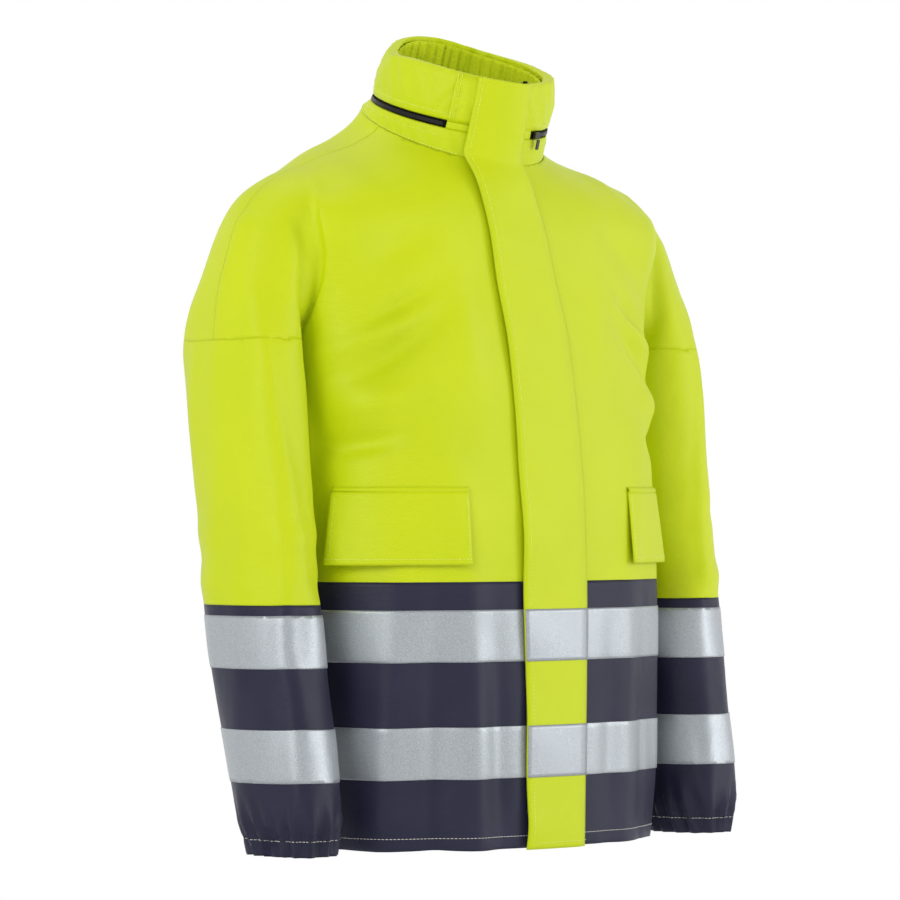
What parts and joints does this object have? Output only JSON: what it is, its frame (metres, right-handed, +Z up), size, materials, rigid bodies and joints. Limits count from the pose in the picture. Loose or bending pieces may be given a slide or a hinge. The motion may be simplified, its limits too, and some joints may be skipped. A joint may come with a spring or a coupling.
{
  "type": "foul weather jacket",
  "caption": "Hip-length foul weather jacket with a hood packed in its stand collar, a zip under a storm flap, flapped pockets, elastic cuffs and reflective bands.",
  "frame": {"origin": "neck centre, level with the side neck points, where the wearer's shoulders carry the jacket", "axes": "+Z up along the wearer's height, -Y towards the wearer's front, +X towards the wearer's left"},
  "size_m": [0.6208, 0.2952, 0.7988],
  "materials": {
    "yellow_cloth": "satin coated woven cloth",
    "navy_cloth": "satin coated woven cloth",
    "reflective_tape": "grainy retroreflective silver",
    "lining": "matte knitted lining",
    "black_tape": "matte woven tape with moulded teeth",
    "zip_metal": "semi-gloss black enamel"
  },
  "bodies": {
    "root": {"right_front_upper": "yellow_cloth", "left_front_upper": "yellow_cloth", "back_upper": "yellow_cloth", "collar_lower": "yellow_cloth", "collar_upper": "yellow_cloth", "packed_hood": "yellow_cloth", "collar_facing": "yellow_cloth", "storm_flap_seam": "yellow_cloth", "right_pocket_welt": "yellow_cloth", "left_pocket_welt": "yellow_cloth", "right_front_lower": "navy_cloth", "left_front_lower": "navy_cloth", "back_lower": "navy_cloth", "right_body_tape_upper": "reflective_tape", "left_body_tape_upper": "reflective_tape", "back_body_tape_upper": "reflective_tape", "right_body_tape_lower": "reflective_tape", "left_body_tape_lower": "reflective_tape", "back_body_tape_lower": "reflective_tape", "collar_lining": "lining", "right_pocket_bag": "lining", "left_pocket_bag": "lining", "hood_zip_tape": "black_tape", "hang_loop": "black_tape", "front_zip_right": "black_tape", "front_zip_left": "black_tape", "collar_zip_right": "black_tape", "collar_zip_left": "black_tape", "front_zip_retainer": "zip_metal", "snap_stud_1": "zip_metal", "snap_stud_2": "zip_metal", "snap_stud_3": "zip_metal", "snap_stud_4": "zip_metal"},
    "storm_flap": {"storm_flap": "yellow_cloth", "storm_flap_tape_upper": "reflective_tape", "storm_flap_tape_lower": "reflective_tape", "snap_socket_1": "zip_metal", "snap_socket_2": "zip_metal", "snap_socket_3": "zip_metal", "snap_socket_4": "zip_metal"},
    "right_pocket_flap": {"right_pocket_flap": "yellow_cloth"},
    "left_pocket_flap": {"left_pocket_flap": "yellow_cloth"},
    "front_zip_slider": {"front_zip_slider": "zip_metal", "front_zip_pull": "zip_metal"},
    "hood_zip_slider": {"hood_zip_slider": "zip_metal"},
    "hood_zip_pull": {"hood_zip_pull": "zip_metal"},
    "right_sleeve": {"right_sleeve_upper": "yellow_cloth", "right_sleeve_lower": "navy_cloth", "right_sleeve_tape_upper": "reflective_tape", "right_sleeve_tape_lower": "reflective_tape", "right_cuff_elastic": "navy_cloth"},
    "left_sleeve": {"left_sleeve_upper": "yellow_cloth", "left_sleeve_lower": "navy_cloth", "left_sleeve_tape_upper": "reflective_tape", "left_sleeve_tape_lower": "reflective_tape", "left_cuff_elastic": "navy_cloth"}
  },
  "joints": [
    {"name": "storm_flap_open", "type": "hinge", "parent": "root", "child": "storm_flap", "pos_m": [0.043, -0.1458, -0.425], "axis": [0, 0.0599, 0.9982], "range_deg": [0, 60]},
    {"name": "right_pocket_flap_lift", "type": "hinge", "parent": "root", "child": "right_pocket_flap", "pos_m": [-0.1203, -0.1436, -0.352], "axis": [-0.7686, 0.6397, 0], "range_deg": [0, 60]},
    {"name": "left_pocket_flap_lift", "type": "hinge", "parent": "root", "child": "left_pocket_flap", "pos_m": [0.1203, -0.1436, -0.352], "axis": [-0.7686, -0.6397, 0], "range_deg": [0, 60]},
    {"name": "right_sleeve_swing", "type": "hinge", "parent": "root", "child": "right_sleeve", "pos_m": [-0.309, 0.02, -0.207], "axis": [0, 1, 0], "range_deg": [0, 30]},
    {"name": "left_sleeve_swing", "type": "hinge", "parent": "root", "child": "left_sleeve", "pos_m": [0.309, 0.02, -0.207], "axis": [0, -1, 0], "range_deg": [0, 30]},
    {"name": "front_zip_slide", "type": "slide", "parent": "root", "child": "front_zip_slider", "axis": [0, 0.2113, -0.9774], "range_m": [0, 0.035]},
    {"name": "hood_zip_travel", "type": "hinge", "parent": "root", "child": "hood_zip_slider", "pos_m": [0, -0.001, 0.022], "axis": [0, -0.2873, 0.9578], "range_deg": [0, 100]},
    {"name": "hood_zip_pull_swing", "type": "hinge", "parent": "hood_zip_slider", "child": "hood_zip_pull", "pos_m": [0.02769, -0.08573, -0.00707], "axis": [-0.9553, -0.2831, -0.0849], "range_deg": [0, 95]}
  ]
}
